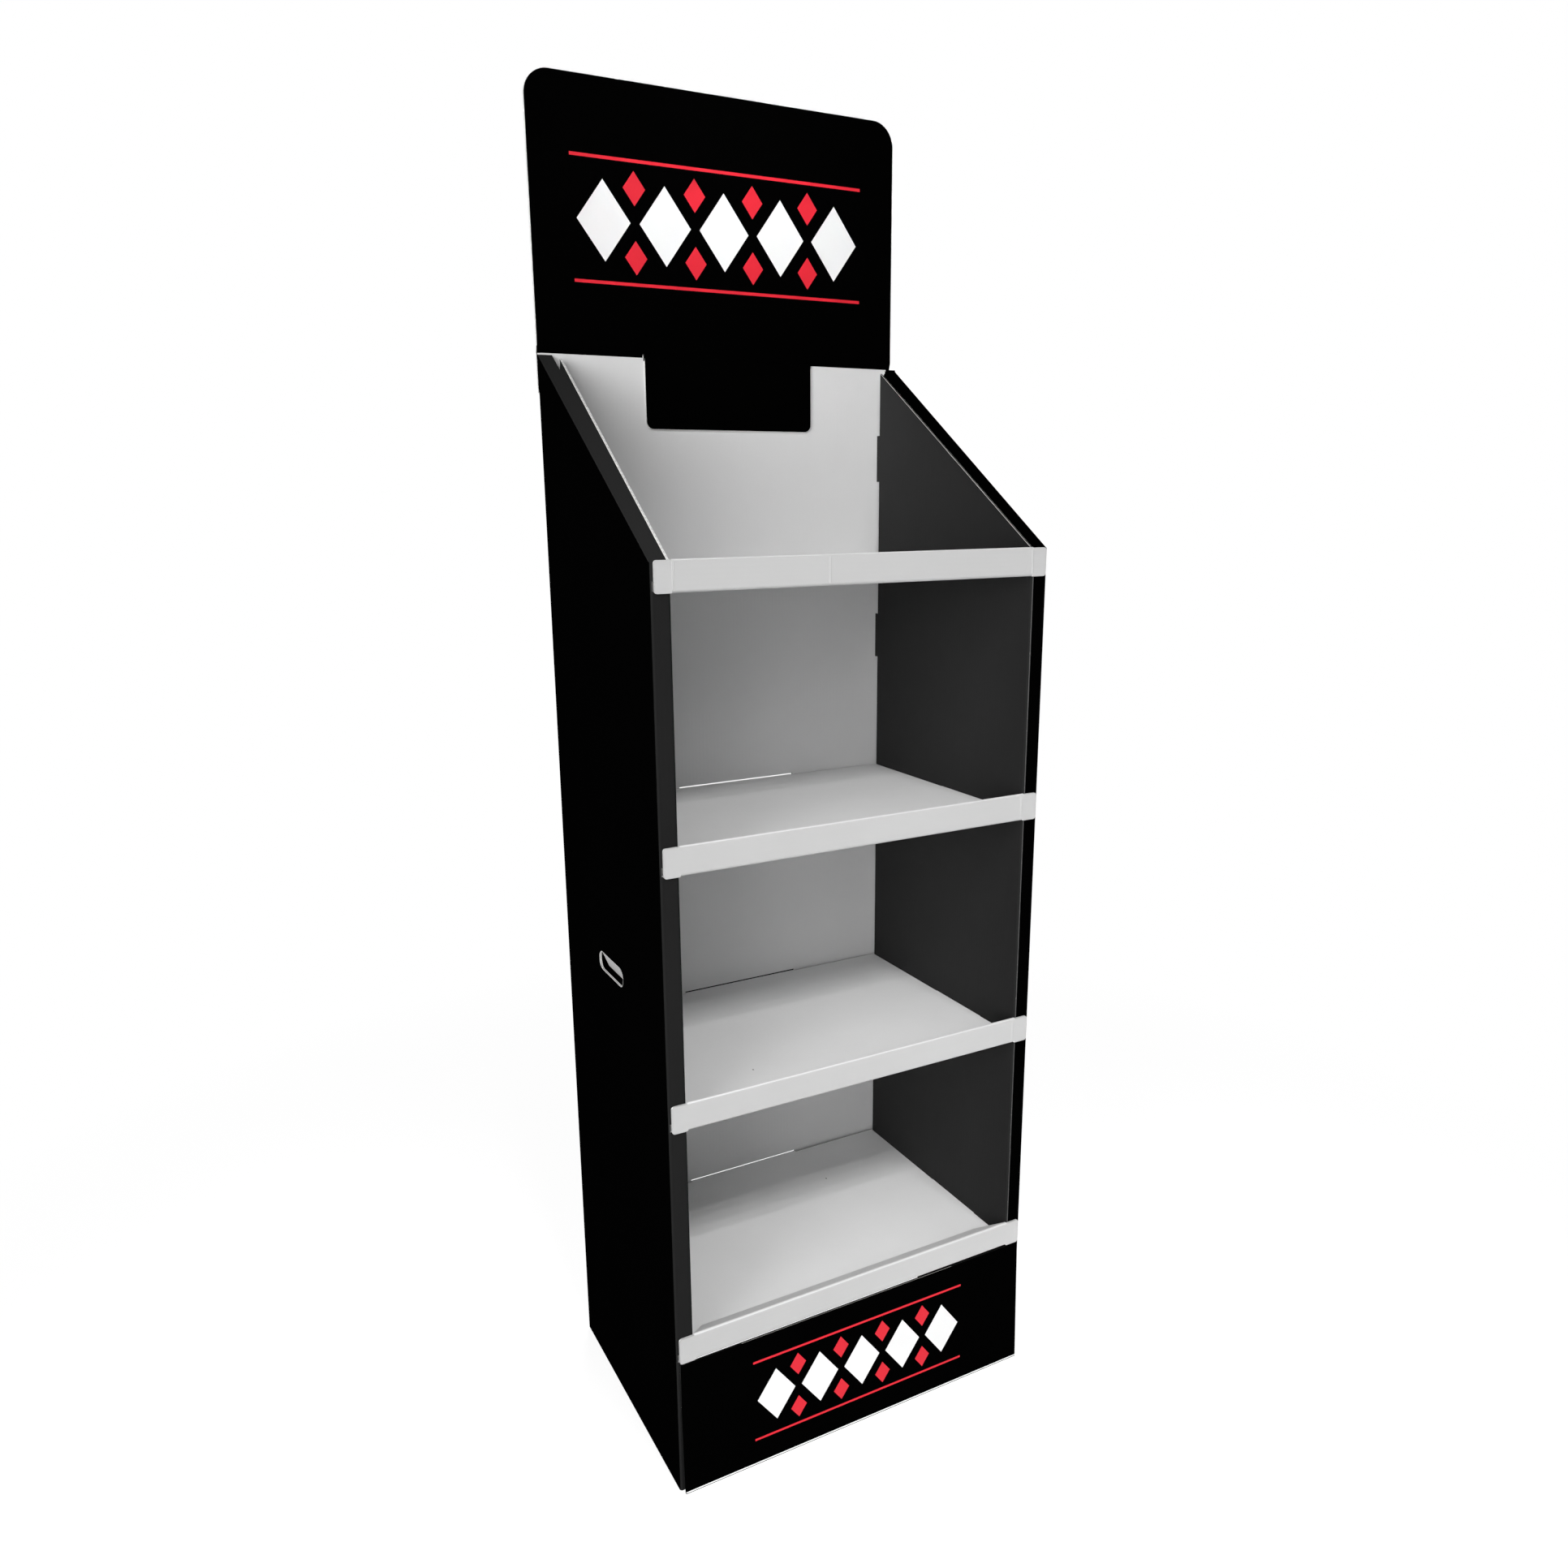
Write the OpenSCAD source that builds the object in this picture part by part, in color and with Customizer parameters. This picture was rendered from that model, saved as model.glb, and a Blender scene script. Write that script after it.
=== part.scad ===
// Free-standing display stand of folded corrugated board.
// One wrap-around sheet makes the back and two hollow side walls with sloping tops. Four lipped shelves
// hook into it, a plinth panel closes the foot and a header panel is slit to straddle the back.
// The front faces -Y, and the floor is at Z = 0.

/* [Stand] */
// Overall width across the outer side panels
stand_w = 600; // [480:10:800]
// Depth from the front returns to the outer face of the back panel
stand_d = 400; // [320:10:560]
// Rise of the sloping side tops from the front edge to the back panel
slope_rise = 275; // [160:5:360]
// Drop of the side walls' front edge below the top lip
front_drop = 4; // [2:1:12]

/* [Board] */
// Thickness of the corrugated board
board = 3; // [2:0.5:4.5]
// Inside radius of a fold
fold_in = 1; // [0.5:0.25:2]

/* [Side walls] */
// Overall thickness of a hollow side wall
wall_w = 27; // [20:1:40]
// Amount by which the inner side panels lean into the stand at their rear edge
toe_in = 6; // [0:0.5:8]
// Space between the inner side panels and the back panel
rear_gap = 7; // [3:1:14]
// Height of the locking tabs on the rear edge of the inner side panels
lock_h = 73; // [40:1:100]
// Drop from the top of the back panel to the centre of the first locking tab
lock_first = 140; // [90:5:180]
// Distance between locking tabs
lock_pitch = 290; // [180:5:320]
// Length of the notch at the rear end of the slope flap
notch_l = 40; // [24:1:60]
// Width of this notch
notch_w = 8.5; // [4:0.5:11]
// Distance from the slope flap's rear end to the tip beside the notch
notch_tip = 14; // [8:1:20]

/* [Hand holes] */
// Length of a hand hole
hand_l = 97; // [75:1:120]
// Height of a hand hole
hand_h = 28; // [27:1:36]
// Height of the centre of the hand holes above the floor
hand_z = 728; // [640:2:860]
// Corner radius of the hand holes
hand_r = 13; // [5:1:13]
// Angle by which the hand hole's flap is pushed in
hand_flap_angle = 22; // [10:1:35]
// Gap cut away below the hand hole's flap
hand_flap_gap = 2; // [1:0.5:8]

/* [Shelves] */
// Height of the lower edge of the bottom lip
first_lip_z = 211; // [150:1:260]
// Distance from one shelf to the next
shelf_pitch = 354; // [260:2:400]
// Height of a lip
lip_h = 40; // [28:1:60]
// Height of the deck's surface above the lower edge of its lip
deck_rise = 10; // [8.5:0.5:14]
// Distance from the lip's back to the toe of its tucked flap
tuck_run = 41; // [24:1:60]
// Amount by which each end of the tucked flap is mitred
tuck_mitre = 29; // [10:1:60]
// Distance from the end of a lip to the outer face of the side wall
ear_inset = 5; // [3:0.5:9]
// Drop of the lip's ends below the top of the lip
ear_drop = 1; // [0.5:0.5:3]
// Corner radius of the lip's ends
ear_r = 3.5; // [1.5:0.5:6]
// Length of the locking tab at the end of a lip
ear_tab_l = 10; // [5:1:14]
// Width of the tab at the rear of a shelf
rear_tab_w = 206; // [120:2:300]
// Spare height above the rear tab in its slot
rear_slot_room = 1.5; // [1:0.5:6]
// Width of the tab at each side of a shelf
side_tab_w = 116; // [60:2:160]
// Distance from the front returns to the middle of the side tabs
side_tab_y = 140; // [110:2:190]
// Length that the side tabs stand out of the deck
side_tab_l = 12; // [6:1:16]

/* [Plinth] */
// Distance from the plinth's ends to the outer face of the side wall
plinth_inset = 5; // [3:0.5:9]
// Gap between the plinth's top edge and the bottom lip
plinth_gap = 2; // [1:0.5:6]
// Amount by which the plinth's foot stands forward
plinth_lean = 6; // [2:0.5:14]
// Height of the plinth's locking tabs
plinth_tab_h = 56; // [30:1:70]
// Height of the lower end of the plinth's locking tabs
plinth_tab_z = 139; // [40:1:142]
// Length of the plinth's locking tabs behind the returns
plinth_tab_l = 12; // [6:1:16]

/* [Header] */
// Amount by which the header falls short of the stand's width, all at its right end
header_less = 10; // [0:1:40]
// Height of the header above the back panel
header_h = 366; // [240:2:460]
// Corner radius of the header's top
header_r = 36; // [10:1:80]
// Width of the tongue in front of the back panel
tongue_w = 279; // [180:1:320]
// Length of the tongue below the top of the back panel
tongue_l = 100; // [60:1:140]
// Corner radius of the tongue
tongue_r = 11; // [4:1:24]
// Length of the shoulders behind the back panel
shoulder_l = 60; // [30:1:100]
// Height over which tongue and shoulders spread to clear the back panel
spread_h = 10; // [8:1:60]
// Width of the slits beside the tongue
slit_w = 1; // [0.5:0.5:5]

/* [Hidden] */
$fn = 48;

// Play of a tab in its slot
clear = 0.3;
// Play of a shelf between the side walls and in front of the back
shelf_play = 0.5;
// Overrun of a cut past the faces that it opens
over = 1;

fold_out = board + fold_in;
half_w = stand_w / 2;
inner_x = half_w - wall_w;
y_front = (plinth_lean - stand_d) / 2;
y_back = y_front + stand_d;
y_mid = (y_front + y_back) / 2;
y_inside = y_back - board;

shelf_count = 4;
top_lip_z = first_lip_z + (shelf_count - 1) * shelf_pitch;
front_h = top_lip_z + lip_h - front_drop;
back_h = front_h + slope_rise;
slope_angle = atan2(slope_rise, stand_d);
slope_l = stand_d / cos(slope_angle);

lock_count = 3;
lock_zs = [for (i = [0 : lock_count - 1]) back_h - lock_first - i * lock_pitch];
lip_zs = [for (i = [0 : shelf_count - 1]) first_lip_z + i * shelf_pitch];

panel_start = y_front + fold_out;
panel_end = y_inside - rear_gap;
deck_half = inner_x - shelf_play;
ear_half = half_w - ear_inset;
plinth_half = half_w - plinth_inset;
plinth_h = first_lip_z - plinth_gap;

print_black = [0.05, 0.05, 0.05];
board_white = [0.86, 0.86, 0.86];

// Inner face of the right inner panel at a given y
function panel_x(y) = inner_x - toe_in * (y - panel_start) / (panel_end - panel_start);

// Sheet standing across the stand: the outline is in X and Z, y is its front face
module across(y, t = board) {
    translate([0, y + t, 0])
        rotate([90, 0, 0])
            linear_extrude(t)
                children();
}

// Sheet standing along the stand's depth: the outline is in Y and Z, x is its left face
module along(x, t = board) {
    translate([x, 0, 0])
        rotate([90, 0, 90])
            linear_extrude(t)
                children();
}

// The same thing at both ends of the stand
module both_sides() {
    children();
    mirror([1, 0, 0])
        children();
}

module box_2d(low, high) {
    translate(low)
        square(high - low);
}

module round_box_2d(low, high, r) {
    box_2d([low.x + r, low.y], [high.x - r, high.y]);
    box_2d([low.x, low.y + r], [high.x, high.y - r]);
    for (x = [low.x + r, high.x - r], y = [low.y + r, high.y - r])
        translate([x, y])
            circle(r);
}

// Quarter ring of board round a fold whose outer corner is at the origin and whose sheets run to +x and +y
module fold_2d() {
    intersection() {
        square(fold_out);
        translate([fold_out, fold_out])
            difference() {
                circle(fold_out);
                circle(fold_in);
            }
    }
}

// Plan of the right inner panel between two places in y
module panel_plan(low, high) {
    polygon([
        [panel_x(low), low],
        [panel_x(low) + board, low],
        [panel_x(high) + board, high],
        [panel_x(high), high]
    ]);
}

// Plan of the right side wall: half of the back, outer panel, front return and inner panel in one sheet
module wall_plan() {
    box_2d([0, y_inside], [half_w - fold_out, y_back]);
    translate([half_w, y_back])
        rotate(180)
            fold_2d();
    box_2d([half_w - board, y_front + fold_out], [half_w, y_back - fold_out]);
    translate([half_w, y_front])
        rotate(90)
            fold_2d();
    box_2d([inner_x + fold_out, y_front], [half_w - fold_out, y_front + board]);
    translate([inner_x, y_front])
        fold_2d();
    panel_plan(panel_start, panel_end);
}

// Everything above the sloping side tops
module slope_cut() {
    along(-half_w - over, stand_w + 2 * over)
        polygon([
            [y_front - over, front_h - over * tan(slope_angle)],
            [y_inside, back_h - board * tan(slope_angle)],
            [y_inside, back_h + over],
            [y_front - over, back_h + over]
        ]);
}

// Inner edge of the right slope flap, measured from its fold, at a given place along the slope
function flap_x(l) = panel_x(y_front + (l + board) * cos(slope_angle)) + board + clear - half_w;

// Flap that covers the hollow of the right side wall, folded in along the slope
module slope_flap() {
    flap_l = slope_l - 2 * board;
    tip_l = flap_l - notch_tip;
    front_x = flap_x(0);
    tip_x = flap_x(tip_l);
    notch_x = tip_x + notch_w;
    translate([half_w, y_front, front_h])
        rotate([slope_angle, 0, 0])
            translate([0, board, -board])
                linear_extrude(board)
                    polygon([
                        [0, 0],
                        [0, flap_l],
                        [notch_x, flap_l],
                        [notch_x, flap_l - notch_l],
                        [tip_x, tip_l],
                        [front_x, 0]
                    ]);
}

// Flap of the right hand hole, hinged at the hole's top edge and pushed into the hollow of the wall
module hand_flap() {
    flap_w = hand_l - 2 * hand_r;
    flap_l = hand_h - hand_flap_gap;
    hinge = [half_w, hand_z + hand_h / 2];
    toe = -flap_l * [sin(hand_flap_angle), cos(hand_flap_angle)];
    inward = board * [-cos(hand_flap_angle), sin(hand_flap_angle)];
    across(y_mid - flap_w / 2, flap_w)
        polygon([hinge, hinge + toe, hinge + toe + inward, hinge + inward]);
}

module hand_hole() {
    along(half_w - board - over, board + 2 * over)
        round_box_2d(
            [y_mid - hand_l / 2, hand_z - hand_h / 2],
            [y_mid + hand_l / 2, hand_z + hand_h / 2],
            hand_r
        );
}

// Tab on the rear edge of the right inner panel, which enters the back panel
module lock_tab(z) {
    translate([0, 0, z - lock_h / 2])
        linear_extrude(lock_h)
            panel_plan(panel_end - over, y_back - clear);
}

module lock_slot(z) {
    low_x = panel_x(y_back) - clear;
    high_x = panel_x(y_inside) + board + clear;
    translate([low_x, y_inside - over, z - lock_h / 2 - clear])
        cube([high_x - low_x, board + 2 * over, lock_h + 2 * clear]);
}

// Cuts for one shelf: rear slot, side slot and the slot for the tab at the right end of its lip
module shelf_slots(z) {
    translate([-rear_tab_w / 2 - clear, y_inside - over, z - clear])
        cube([rear_tab_w + 2 * clear, board + 2 * over, deck_rise + clear + rear_slot_room]);
    translate([
        inner_x - toe_in - over,
        y_front + side_tab_y - side_tab_w / 2 - clear,
        z + deck_rise - board - clear
    ])
        cube([toe_in + board + 2 * over, side_tab_w + 2 * clear, board + 2 * clear]);
    translate([ear_half - board - clear, y_front - over, z + ear_r - clear])
        cube([half_w - ear_half + clear, board + 2 * over, deck_rise + 2 * clear]);
}

module plinth_slot() {
    translate([plinth_half - board - clear, y_front - over, plinth_tab_z - clear])
        cube([board + 2 * clear, board + 2 * over, plinth_tab_h + 2 * clear]);
}

// Back, side walls and returns: one folded sheet
module body() {
    color(print_black)
        union() {
            difference() {
                both_sides()
                    linear_extrude(back_h)
                        wall_plan();
                slope_cut();
                both_sides() {
                    hand_hole();
                    plinth_slot();
                    for (z = lip_zs)
                        shelf_slots(z);
                    for (z = lock_zs)
                        lock_slot(z);
                }
            }
            both_sides() {
                slope_flap();
                hand_flap();
                for (z = lock_zs)
                    lock_tab(z);
            }
        }
}

// Section of a shelf: the sheet runs back from the foot of the lip, folds up and returns as the deck
module deck_section(z, y_end) {
    difference() {
        round_box_2d([y_front - board, z], [y_end, z + deck_rise], fold_out);
        round_box_2d([y_front, z + board], [y_end - board, z + deck_rise - board], fold_in);
        box_2d([y_front, z + board + fold_in], [y_front + shelf_play, z + deck_rise + over]);
    }
    box_2d([y_front - board, z + fold_out], [y_front, z + lip_h - board]);
}

// End of a lip, which laps over the front return
module ear_2d(z) {
    top = z + lip_h - ear_drop;
    box_2d([deck_half, z], [ear_half - ear_r, top]);
    box_2d([deck_half, z + ear_r], [ear_half, top - ear_r]);
    for (corner_z = [z + ear_r, top - ear_r])
        translate([ear_half - ear_r, corner_z])
            circle(ear_r);
}

// Flap that rolls over the top of the lip and tucks down on the deck
module tuck_flap(z) {
    fold_z = z + lip_h - board;
    drop = lip_h - board - deck_rise - clear;
    angle = atan2(drop, tuck_run);
    toe = [tuck_run, -drop];
    lift = board * [sin(angle), cos(angle)];
    heel = [y_front, fold_z];
    intersection() {
        along(-deck_half, 2 * deck_half) {
            polygon([heel, heel + toe, heel + toe + lift, heel + lift]);
            translate(heel)
                circle(board);
        }
        translate([0, y_front, z])
            linear_extrude(lip_h + over)
                polygon([
                    [-deck_half, -board - over],
                    [deck_half, -board - over],
                    [deck_half, 0],
                    [deck_half - tuck_mitre, tuck_run],
                    [deck_half - tuck_mitre, tuck_run + board],
                    [tuck_mitre - deck_half, tuck_run + board],
                    [tuck_mitre - deck_half, tuck_run],
                    [-deck_half, 0]
                ]);
    }
}

// Plan of the right half of a deck, narrower at the rear like the space between the inner panels
module deck_plan() {
    front = y_front - board - over;
    polygon([
        [0, front],
        [deck_half, front],
        [deck_half, panel_start],
        [panel_x(y_inside) - shelf_play, y_inside],
        [0, y_inside]
    ]);
}

// One shelf, folded from one sheet: lip with its ears, tucked flap, double deck and locking tabs
module shelf(z) {
    tab_half = rear_tab_w / 2;
    color(board_white)
        union() {
            along(-tab_half, rear_tab_w)
                deck_section(z, y_back - clear);
            both_sides()
                intersection() {
                    along(tab_half, deck_half - tab_half + over)
                        deck_section(z, y_inside - shelf_play);
                    translate([0, 0, z - over])
                        linear_extrude(lip_h + 2 * over)
                            deck_plan();
                }
            tuck_flap(z);
            both_sides() {
                across(y_front - board)
                    ear_2d(z);
                translate([
                    deck_half - toe_in - over,
                    y_front + side_tab_y - side_tab_w / 2,
                    z + deck_rise - board
                ])
                    cube([toe_in + over + side_tab_l, side_tab_w, board]);
                translate([ear_half - board, y_front - board, z + ear_r])
                    cube([board, board + ear_tab_l, deck_rise]);
            }
        }
}

module shelf_top() {
    shelf(lip_zs[3]);
}

module shelf_upper() {
    shelf(lip_zs[2]);
}

module shelf_lower() {
    shelf(lip_zs[1]);
}

module shelf_bottom() {
    shelf(lip_zs[0]);
}

// Panel that closes the foot, standing forward at the floor, with a locking tab at each end
module plinth() {
    color(print_black)
        union() {
            along(-plinth_half, 2 * plinth_half)
                polygon([
                    [y_front - plinth_lean - board, 0],
                    [y_front - plinth_lean, 0],
                    [y_front, plinth_h],
                    [y_front - board, plinth_h]
                ]);
            both_sides()
                along(plinth_half - board)
                    polygon([
                        [y_front - plinth_lean * (1 - plinth_tab_z / plinth_h) - board / 2, plinth_tab_z],
                        [y_front + plinth_tab_l, plinth_tab_z],
                        [y_front + plinth_tab_l, plinth_tab_z + plinth_tab_h],
                        [y_front - board / 2, plinth_tab_z + plinth_tab_h]
                    ]);
        }
}

// Plate below the spread of the header, with rounded lower corners
module hanging_plate_2d(x_low, x_high, length, r) {
    round_box_2d([x_low, back_h - length], [x_high, back_h], r);
    box_2d([x_low, back_h - r], [x_high, back_h]);
}

// Stretch of the header that slants from the plane of the back panel to a plate at y
module spread_2d(y) {
    polygon([
        [y_inside, back_h + spread_h],
        [y_back, back_h + spread_h],
        [y + board, back_h],
        [y, back_h]
    ]);
}

// Header, cut from one flat sheet: its tongue passes in front of the back panel and its shoulders behind
module header() {
    left = -half_w;
    right = half_w - header_less;
    tongue_half = tongue_w / 2;
    tongue_y = y_inside - board;
    shoulder_y = y_back;
    panel_z = back_h + spread_h;
    color(print_black)
        union() {
            across(y_inside) {
                round_box_2d([left, panel_z], [right, back_h + header_h], header_r);
                box_2d([left, panel_z], [right, panel_z + header_r]);
            }
            across(tongue_y)
                hanging_plate_2d(-tongue_half, tongue_half, tongue_l, tongue_r);
            along(-tongue_half, tongue_w)
                spread_2d(tongue_y);
            for (x = [[left, -tongue_half - slit_w], [tongue_half + slit_w, right]]) {
                across(shoulder_y)
                    hanging_plate_2d(x[0], x[1], shoulder_l, tongue_r);
                along(x[0], x[1] - x[0])
                    spread_2d(shoulder_y);
            }
        }
}

body();
shelf_top();
shelf_upper();
shelf_lower();
shelf_bottom();
plinth();
header();
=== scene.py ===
"""Looks for the folded-board display stand: board faces, raw fluted edges, creases and a generic print."""

import math

import bpy
from mathutils import Matrix, Vector


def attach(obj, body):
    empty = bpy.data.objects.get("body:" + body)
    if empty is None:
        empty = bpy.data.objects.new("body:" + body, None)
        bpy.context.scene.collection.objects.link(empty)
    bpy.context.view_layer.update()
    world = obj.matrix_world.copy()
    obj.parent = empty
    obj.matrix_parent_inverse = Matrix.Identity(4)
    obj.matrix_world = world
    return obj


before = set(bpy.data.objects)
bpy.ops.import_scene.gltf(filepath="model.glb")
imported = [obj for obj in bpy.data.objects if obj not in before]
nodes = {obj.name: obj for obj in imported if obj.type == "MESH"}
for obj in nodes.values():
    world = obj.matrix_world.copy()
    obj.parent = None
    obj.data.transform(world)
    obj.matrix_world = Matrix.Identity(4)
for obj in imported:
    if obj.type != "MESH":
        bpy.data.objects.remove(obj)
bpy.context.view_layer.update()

X, Y, Z = Vector((1, 0, 0)), Vector((0, 1, 0)), Vector((0, 0, 1))
TINY = 0.0002

# Sizes of the part, in metres: board
BOARD = 0.003
FOLD_IN = 0.001
FOLD_OUT = BOARD + FOLD_IN
CLEAR = 0.0003

# Body
HALF_W = 0.300
INNER_X = 0.273
Y_FRONT = -0.197
Y_BACK = 0.203
Y_MID = (Y_FRONT + Y_BACK) / 2
Y_INSIDE = Y_BACK - BOARD
FRONT_H = 1.309
BACK_H = 1.584
SLOPE = math.atan2(BACK_H - FRONT_H, Y_BACK - Y_FRONT)
REAR_GAP = 0.007
TOE_IN = 0.006
PANEL_START = Y_FRONT + FOLD_OUT
PANEL_END = Y_INSIDE - REAR_GAP
HAND_Z = 0.728
HAND_L = 0.097
HAND_H = 0.028
HAND_R = 0.013
SLOT_HALF = 0.1033
SLOT_RISE = 0.0115

# Shelves
LIP_ZS = {"shelf_bottom": 0.211, "shelf_lower": 0.565, "shelf_upper": 0.919, "shelf_top": 1.273}
LIP_H = 0.040
DECK_RISE = 0.010
DECK_HALF = 0.2725
EAR_HALF = 0.295
EAR_R = 0.0035
EAR_DROP = 0.001

# Plinth
PLINTH_H = 0.209
PLINTH_LEAN = 0.006
PLINTH_HALF = 0.295
PLINTH_TAB_Z = 0.139

# Header
HEADER_LEFT = -0.300
HEADER_RIGHT = 0.290
HEADER_TOP = 1.950
HEADER_R = 0.036
SPREAD_H = 0.010
PANEL_Z = BACK_H + SPREAD_H
TONGUE_HALF = 0.1395
TONGUE_L = 0.100
TONGUE_R = 0.011
TONGUE_Y = Y_INSIDE - BOARD
SHOULDER_L = 0.060
SHOULDER_Y = Y_BACK
SLIT_W = 0.001


def panel_x(y):
    """Distance of the inner panels' inner faces from the middle of the stand, at a given y."""
    return INNER_X - TOE_IN * (y - PANEL_START) / (PANEL_END - PANEL_START)


def slope_z(y):
    """Height of the sloping side tops at a given y."""
    return FRONT_H + (y - Y_FRONT) * math.tan(SLOPE)


# Materials

FLUTE_PITCH = 0.0064
# Length of a wave texture's bands at scale 1
WAVE_LENGTH = math.pi / 10
WAVE_DISTORTION, WAVE_DETAIL_SCALE = 0.6, 0.4
# Noises: scale, detail and roughness
CLOUD = (5.0, 4.0, 0.55)
FIBRE = (900.0, 2.0, 0.7)
FLECK = (260.0, 5.0, 0.75)
# Part of a noise's range that is used
NOISE_RANGE = (0.3, 0.7)
# Shares of the noises in the tone, and of the fibre in the relief
CLOUD_SHARE, FIBRE_SHARE, FIBRE_HEIGHT = 0.6, 0.4, 0.35
# How far a tone goes up, as a share of how far it goes down
UP_SHARE = 0.5
FLECK_EDGE = 0.08
# Half the width, in metres, of the painted light and shade fade across the stand
LIGHT_FADE_REACH = 0.28
BUMP_STRENGTH, BUMP_HEIGHT = 0.35, 0.0001


def link(tree, source, target):
    tree.links.new(source, target)


def node(tree, kind, **values):
    """Adds a shader node; a value sets an input of that name, or a property."""
    made = tree.nodes.new(kind)
    for key, value in values.items():
        if key in made.inputs:
            made.inputs[key].default_value = value
        else:
            setattr(made, key, value)
    return made


def math_node(tree, operation, a, b):
    made = node(tree, "ShaderNodeMath", operation=operation)
    for socket, value in zip(made.inputs, (a, b)):
        if isinstance(value, (int, float)):
            socket.default_value = value
        else:
            link(tree, value, socket)
    return made.outputs[0]


def mix_colour(tree, factor, low, high):
    made = node(tree, "ShaderNodeMix", data_type="RGBA")
    link(tree, factor, made.inputs["Factor"])
    for socket, value in ((made.inputs[6], low), (made.inputs[7], high)):
        if isinstance(value, tuple):
            socket.default_value = (*value, 1)
        else:
            link(tree, value, socket)
    return made.outputs[2]


def ramp(tree, value, low, high, to_low=0.0, to_high=1.0):
    made = node(tree, "ShaderNodeMapRange")
    link(tree, value, made.inputs["Value"])
    limits = {"From Min": low, "From Max": high, "To Min": to_low, "To Max": to_high}
    for name, number in limits.items():
        made.inputs[name].default_value = number
    return made.outputs["Result"]


def noise(tree, place, scale, detail, roughness):
    made = node(tree, "ShaderNodeTexNoise", Scale=scale, Detail=detail, Roughness=roughness)
    link(tree, place, made.inputs["Vector"])
    return made.outputs["Fac"]


def even(tone):
    return (tone, tone, tone)


def shade(colour, by):
    return tuple(max(0.0, c * by) for c in colour)


def paper(name, colour, spread, rough, specular, flute_axis=None, flute=0.012, fleck=None, light_fade=None):
    """Paper-faced board: cloudy tone, fine fibre, and the washboard of its flutes under the liner.

    spread is how far the tone varies and flute how much of that the flutes add; fleck is a colour and a
    threshold; fade is painted light and shade: an axis, and the tone's factors at its low and high ends.
    """
    material = bpy.data.materials.new(name)
    material.use_nodes = True
    tree = material.node_tree
    bsdf = tree.nodes["Principled BSDF"]
    place = node(tree, "ShaderNodeTexCoord").outputs["Object"]
    cloud = noise(tree, place, *CLOUD)
    fibre = noise(tree, place, *FIBRE)
    tone = math_node(tree, "ADD", math_node(tree, "MULTIPLY", cloud, CLOUD_SHARE),
                     math_node(tree, "MULTIPLY", fibre, FIBRE_SHARE))
    height = math_node(tree, "MULTIPLY", fibre, FIBRE_HEIGHT)
    if flute_axis:
        wave = node(tree, "ShaderNodeTexWave", wave_type="BANDS", bands_direction=flute_axis,
                    Scale=WAVE_LENGTH / FLUTE_PITCH, Distortion=WAVE_DISTORTION)
        wave.inputs["Detail Scale"].default_value = WAVE_DETAIL_SCALE
        link(tree, place, wave.inputs["Vector"])
        tone = math_node(tree, "ADD", tone, math_node(tree, "MULTIPLY", wave.outputs["Fac"], flute))
        height = math_node(tree, "ADD", height, wave.outputs["Fac"])
    tone = ramp(tree, tone, *NOISE_RANGE)

    def tinted(by):
        low, high = shade(colour, by * (1 - spread)), shade(colour, by * (1 + spread * UP_SHARE))
        return mix_colour(tree, tone, low, high)

    # The fade paints light and shade into the tone: darker at one end of the axis, lighter at the other
    if light_fade:
        axis, first, last = light_fade
        axes = node(tree, "ShaderNodeSeparateXYZ")
        link(tree, place, axes.inputs[0])
        across = ramp(tree, axes.outputs[axis], -LIGHT_FADE_REACH, LIGHT_FADE_REACH)
        tint = mix_colour(tree, across, tinted(first), tinted(last))
    else:
        tint = tinted(1)
    if fleck:
        fleck_colour, threshold = fleck
        mask = ramp(tree, noise(tree, place, *FLECK), threshold, threshold + FLECK_EDGE)
        tint = mix_colour(tree, mask, tint, fleck_colour)
    link(tree, tint, bsdf.inputs["Base Color"])
    link(tree, ramp(tree, fibre, *NOISE_RANGE, *rough), bsdf.inputs["Roughness"])
    bsdf.inputs["Specular IOR Level"].default_value = specular
    bump = node(tree, "ShaderNodeBump", Strength=BUMP_STRENGTH, Distance=BUMP_HEIGHT)
    link(tree, height, bump.inputs["Height"])
    link(tree, bump.outputs["Normal"], bsdf.inputs["Normal"])
    return material


PRINT_ROUGH = (0.7, 0.88)
PRINT_FLUTE = 0.01
LINER_ROUGH = (0.66, 0.84)
RAW_ROUGH = (0.8, 0.95)
SHADE_ROUGH = (0.85, 0.95)
INK_ROUGH = (0.5, 0.62)

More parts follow.
